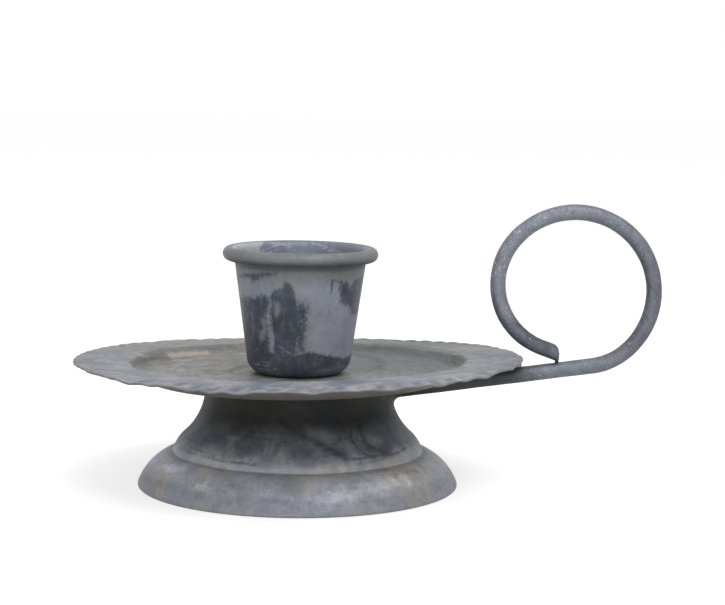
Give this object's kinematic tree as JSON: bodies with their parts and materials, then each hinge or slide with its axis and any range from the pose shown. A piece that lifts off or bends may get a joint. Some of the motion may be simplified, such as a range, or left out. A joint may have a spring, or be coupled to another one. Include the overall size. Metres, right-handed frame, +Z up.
{
  "type": "candle holder",
  "caption": "Low chamber candle holder: a flared hollow foot, a wide drip dish with a crimped rim, a tapered cup with a rolled lip, and a rod handle with a finger ring.",
  "frame": {"origin": "centre of the circle on which the foot stands", "axes": "+Z up along the axis of the foot, plate and cup; +X out along the handle"},
  "size_m": [0.1567, 0.12, 0.0761],
  "materials": {
    "foot_zinc": "spun sheet steel under an aged matt zinc patina, clouded blue-grey",
    "plate_zinc": "pressed sheet steel under an aged matt zinc patina, with brushed arcs",
    "cup_zinc": "pressed sheet steel under an aged zinc patina, with dark slate patches",
    "rod_zinc": "steel rod under an aged zinc patina, scratched pale on its bends",
    "braze": "brass braze, dulled by the same patina",
    "fixings": "dull zinc plated steel"
  },
  "bodies": {
    "root": {"foot_shell": "foot_zinc", "drip_plate": "plate_zinc", "candle_cup": "cup_zinc", "ring_handle": "rod_zinc", "handle_braze": "braze", "ring_tip_braze": "braze", "fixing_screw": "fixings", "fixing_washer": "fixings", "fixing_nut": "fixings"}
  },
  "joints": []
}
